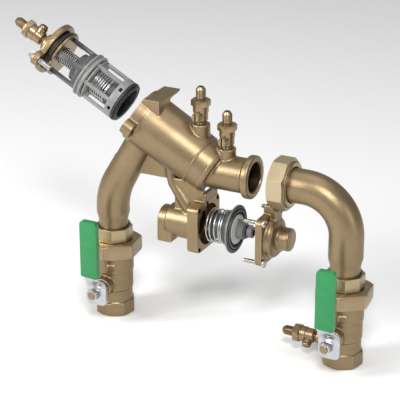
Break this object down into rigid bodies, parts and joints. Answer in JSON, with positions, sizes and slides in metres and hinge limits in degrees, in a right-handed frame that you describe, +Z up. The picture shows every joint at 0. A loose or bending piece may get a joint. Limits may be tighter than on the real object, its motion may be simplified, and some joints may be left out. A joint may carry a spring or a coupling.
{
  "type": "backflow preventer",
  "caption": "Reduced pressure backflow preventer on two upright legs, shown drawn apart: check module, relief valve and inlet leg slide home into the cast body.",
  "frame": {"origin": "centre of the bounding box in plan, on the plane of the two pipe ends", "axes": "+X from the outlet leg to the inlet leg, +Y away from the levers, +Z up along the legs"},
  "size_m": [0.4392, 0.1068, 0.34],
  "materials": {
    "main_casting": "as-cast bronze",
    "outlet_tailpiece": "machined",
    "outlet_union_gasket": "moulded rubber",
    "outlet_valve_body": "as-cast bronze",
    "outlet_valve_end": "as-cast bronze",
    "outlet_seat_upper": "moulded seat ring",
    "outlet_seat_lower": "moulded seat ring",
    "outlet_packing_nut": "machined",
    "test_cock_2": "machined",
    "test_cock_3": "machined",
    "outlet_union_nut": "machined",
    "outlet_handle": "zinc plated plate",
    "outlet_handle_nut": "nickel plated",
    "outlet_grip": "dipped vinyl",
    "outlet_stem": "machined",
    "outlet_ball": "polished",
    "inlet_elbow": "as-cast bronze",
    "inlet_gasket": "moulded rubber",
    "inlet_tailpiece": "machined",
    "inlet_union_gasket": "moulded rubber",
    "inlet_valve_body": "as-cast bronze",
    "inlet_valve_end": "as-cast bronze",
    "inlet_seat_upper": "moulded seat ring",
    "inlet_seat_lower": "moulded seat ring",
    "inlet_packing_nut": "machined",
    "test_cock_1": "machined",
    "inlet_union_nut": "machined",
    "inlet_handle": "zinc plated plate",
    "inlet_handle_nut": "nickel plated",
    "inlet_grip": "dipped vinyl",
    "inlet_stem": "machined",
    "inlet_ball": "polished",
    "inlet_swivel_nut": "machined",
    "module_cover": "as-cast bronze",
    "cover_o_ring": "moulded rubber",
    "cover_bolt_front": "zinc plated",
    "cover_bolt_back": "zinc plated",
    "check_2_cage": "moulded",
    "check_2_spring": "drawn stainless wire",
    "check_1_cage": "moulded",
    "check_1_spring": "drawn stainless wire",
    "module_o_ring": "moulded rubber",
    "test_cock_4": "machined",
    "check_1_poppet": "moulded",
    "check_2_poppet": "moulded",
    "relief_cup": "moulded",
    "relief_diaphragm": "moulded rubber",
    "relief_hub": "moulded",
    "relief_stem_o_ring": "moulded rubber",
    "relief_spring": "drawn stainless wire",
    "relief_cover": "as-cast bronze",
    "relief_bolt_upper_front": "zinc plated",
    "relief_bolt_upper_back": "zinc plated",
    "relief_bolt_lower_front": "zinc plated",
    "relief_bolt_lower_back": "zinc plated",
    "test_cock_1_stem": "machined",
    "test_cock_2_stem": "machined",
    "test_cock_3_stem": "machined",
    "test_cock_4_stem": "machined"
  },
  "bodies": {
    "body": {"main_casting": "main_casting", "outlet_tailpiece": "outlet_tailpiece", "outlet_union_gasket": "outlet_union_gasket", "outlet_valve_body": "outlet_valve_body", "outlet_valve_end": "outlet_valve_end", "outlet_seat_upper": "outlet_seat_upper", "outlet_seat_lower": "outlet_seat_lower", "outlet_packing_nut": "outlet_packing_nut", "test_cock_2": "test_cock_2", "test_cock_3": "test_cock_3"},
    "outlet_union_nut": {"outlet_union_nut": "outlet_union_nut"},
    "outlet_lever": {"outlet_handle": "outlet_handle", "outlet_handle_nut": "outlet_handle_nut", "outlet_grip": "outlet_grip", "outlet_stem": "outlet_stem", "outlet_ball": "outlet_ball"},
    "inlet_leg": {"inlet_elbow": "inlet_elbow", "inlet_gasket": "inlet_gasket", "inlet_tailpiece": "inlet_tailpiece", "inlet_union_gasket": "inlet_union_gasket", "inlet_valve_body": "inlet_valve_body", "inlet_valve_end": "inlet_valve_end", "inlet_seat_upper": "inlet_seat_upper", "inlet_seat_lower": "inlet_seat_lower", "inlet_packing_nut": "inlet_packing_nut", "test_cock_1": "test_cock_1"},
    "inlet_union_nut": {"inlet_union_nut": "inlet_union_nut"},
    "inlet_lever": {"inlet_handle": "inlet_handle", "inlet_handle_nut": "inlet_handle_nut", "inlet_grip": "inlet_grip", "inlet_stem": "inlet_stem", "inlet_ball": "inlet_ball"},
    "inlet_swivel_nut": {"inlet_swivel_nut": "inlet_swivel_nut"},
    "check_module": {"module_cover": "module_cover", "cover_o_ring": "cover_o_ring", "cover_bolt_front": "cover_bolt_front", "cover_bolt_back": "cover_bolt_back", "check_2_cage": "check_2_cage", "check_2_spring": "check_2_spring", "check_1_cage": "check_1_cage", "check_1_spring": "check_1_spring", "module_o_ring": "module_o_ring", "test_cock_4": "test_cock_4"},
    "check_1_valve": {"check_1_poppet": "check_1_poppet"},
    "check_2_valve": {"check_2_poppet": "check_2_poppet"},
    "relief_module": {"relief_cup": "relief_cup", "relief_diaphragm": "relief_diaphragm", "relief_hub": "relief_hub", "relief_stem_o_ring": "relief_stem_o_ring", "relief_spring": "relief_spring"},
    "relief_cover": {"relief_cover": "relief_cover", "relief_bolt_upper_front": "relief_bolt_upper_front", "relief_bolt_upper_back": "relief_bolt_upper_back", "relief_bolt_lower_front": "relief_bolt_lower_front", "relief_bolt_lower_back": "relief_bolt_lower_back"},
    "test_cock_1_key": {"test_cock_1_stem": "test_cock_1_stem"},
    "test_cock_2_key": {"test_cock_2_stem": "test_cock_2_stem"},
    "test_cock_3_key": {"test_cock_3_stem": "test_cock_3_stem"},
    "test_cock_4_key": {"test_cock_4_stem": "test_cock_4_stem"}
  },
  "joints": [
    {"name": "check_module_slide", "type": "slide", "parent": "body", "child": "check_module", "axis": [0.8746, 0, -0.4848], "range_m": [0, 0.1204]},
    {"name": "inlet_leg_slide", "type": "slide", "parent": "body", "child": "inlet_leg", "axis": [-1, 0, 0], "range_m": [0, 0.033]},
    {"name": "relief_module_slide", "type": "slide", "parent": "body", "child": "relief_module", "axis": [-1, 0, 0], "range_m": [0, 0.0322], "deforming": ["relief_spring"]},
    {"name": "relief_cover_slide", "type": "slide", "parent": "relief_module", "child": "relief_cover", "axis": [-1, 0, 0], "range_m": [0, 0.0329]},
    {"name": "check_1_slide", "type": "slide", "parent": "check_module", "child": "check_1_valve", "axis": [-0.8746, 0, 0.4848], "range_m": [0, 0.008], "stiffness_N_per_m": 1500, "springref_m": -0.008, "deforming": ["check_1_spring"]},
    {"name": "check_2_slide", "type": "slide", "parent": "check_module", "child": "check_2_valve", "axis": [-0.8746, 0, 0.4848], "range_m": [0, 0.008], "stiffness_N_per_m": 600, "springref_m": -0.01, "deforming": ["check_2_spring"]},
    {"name": "outlet_lever_turn", "type": "hinge", "parent": "body", "child": "outlet_lever", "pos_m": [-0.0977, -0.0302, 0.04], "axis": [0, 1, 0], "range_deg": [0, 90]},
    {"name": "inlet_lever_turn", "type": "hinge", "parent": "inlet_leg", "child": "inlet_lever", "pos_m": [0.1893, -0.0302, 0.04], "axis": [0, 1, 0], "range_deg": [0, 90]},
    {"name": "outlet_union_nut_turn", "type": "hinge", "parent": "body", "child": "outlet_union_nut", "pos_m": [-0.0977, 0.0098, 0.084], "axis": [0, 0, 1], "continuous": true},
    {"name": "inlet_union_nut_turn", "type": "hinge", "parent": "inlet_leg", "child": "inlet_union_nut", "pos_m": [0.1893, 0.0098, 0.084], "axis": [0, 0, 1], "continuous": true},
    {"name": "inlet_swivel_nut_turn", "type": "hinge", "parent": "inlet_leg", "child": "inlet_swivel_nut", "pos_m": [0.1143, 0.0098, 0.1988], "axis": [1, 0, 0], "continuous": true},
    {"name": "test_cock_1_turn", "type": "hinge", "parent": "inlet_leg", "child": "test_cock_1_key", "pos_m": [0.1506, 0.0098, 0.0232], "axis": [0, -0.8192, -0.5736], "range_deg": [0, 90]},
    {"name": "test_cock_2_turn", "type": "hinge", "parent": "body", "child": "test_cock_2_key", "pos_m": [0.0469, 0.0098, 0.2378], "axis": [0, -1, 0], "range_deg": [0, 90]},
    {"name": "test_cock_3_turn", "type": "hinge", "parent": "body", "child": "test_cock_3_key", "pos_m": [0.0149, 0.0098, 0.261], "axis": [0, -1, 0], "range_deg": [0, 90]},
    {"name": "test_cock_4_turn", "type": "hinge", "parent": "check_module", "child": "test_cock_4_key", "pos_m": [-0.1897, 0.0098, 0.32131], "axis": [0.4742, 0.2079, 0.8555], "range_deg": [0, 90]}
  ]
}
